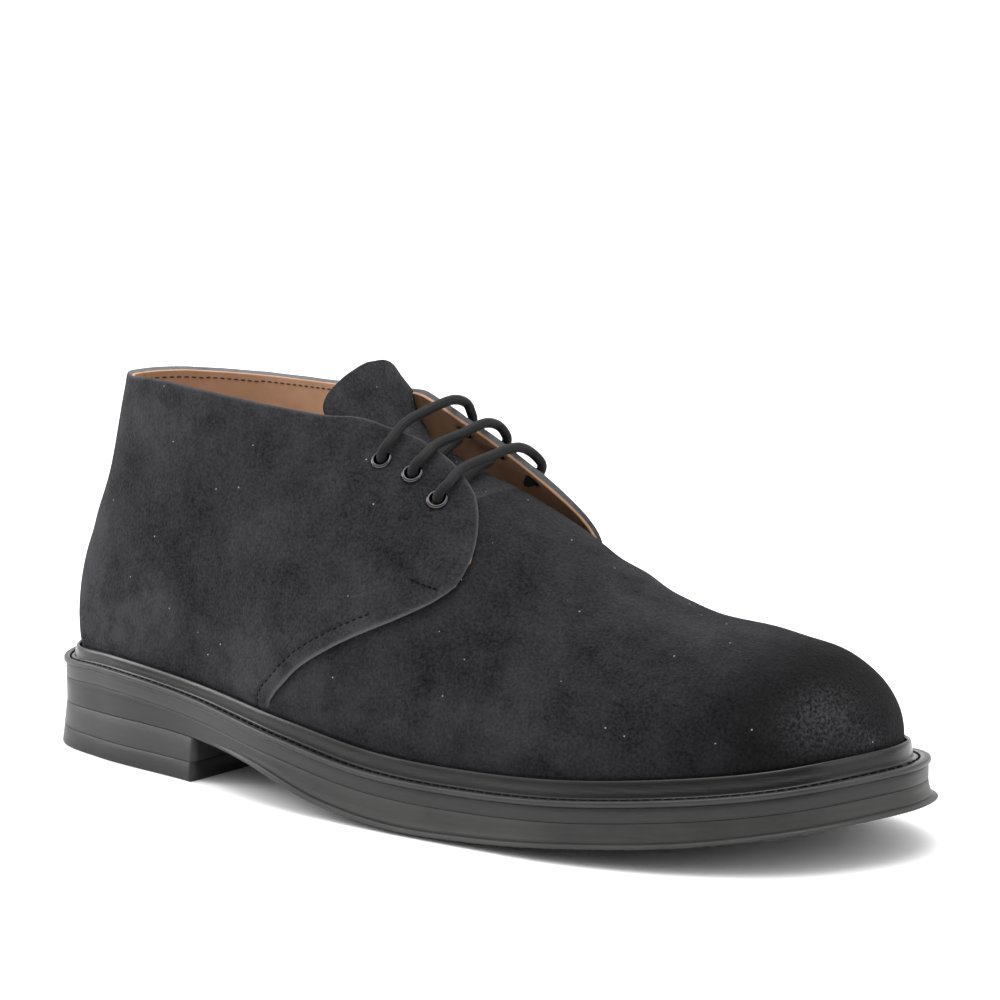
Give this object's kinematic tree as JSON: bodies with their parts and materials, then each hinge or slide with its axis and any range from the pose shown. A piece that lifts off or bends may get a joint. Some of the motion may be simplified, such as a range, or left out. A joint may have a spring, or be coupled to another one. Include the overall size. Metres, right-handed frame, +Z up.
{
  "type": "chukka boot",
  "caption": "Ankle-high suede chukka boot with open lacing, leather lining, ribbed welt and stacked rubber sole with a low heel.",
  "frame": {"origin": "middle of the shoe's bounding box, on the ground", "axes": "+X to the toe, +Y to the inner side of the foot, +Z up"},
  "size_m": [0.3028, 0.1108, 0.125],
  "materials": {
    "suede": "napped suede, matte",
    "tongue_suede": "napped suede, matte",
    "lining": "smooth tan leather",
    "welt": "polished black",
    "midsole_rubber": "satin grey-black",
    "sole_rubber": "satin grey-black",
    "heel_rubber": "satin grey-black",
    "eyelet_metal": "dark gunmetal",
    "lace_cord": "braided waxed cord, matte"
  },
  "bodies": {
    "root": {"heel_top_piece": "sole_rubber", "heel_lift": "heel_rubber", "outsole": "sole_rubber", "midsole": "midsole_rubber", "welt": "welt", "insole": "lining", "upper": "suede", "tongue": "tongue_suede", "eyelet_outer_1": "eyelet_metal", "eyelet_outer_2": "eyelet_metal", "eyelet_outer_3": "eyelet_metal", "eyelet_inner_1": "eyelet_metal", "eyelet_inner_2": "eyelet_metal", "eyelet_inner_3": "eyelet_metal", "lace": "lace_cord"}
  },
  "joints": []
}
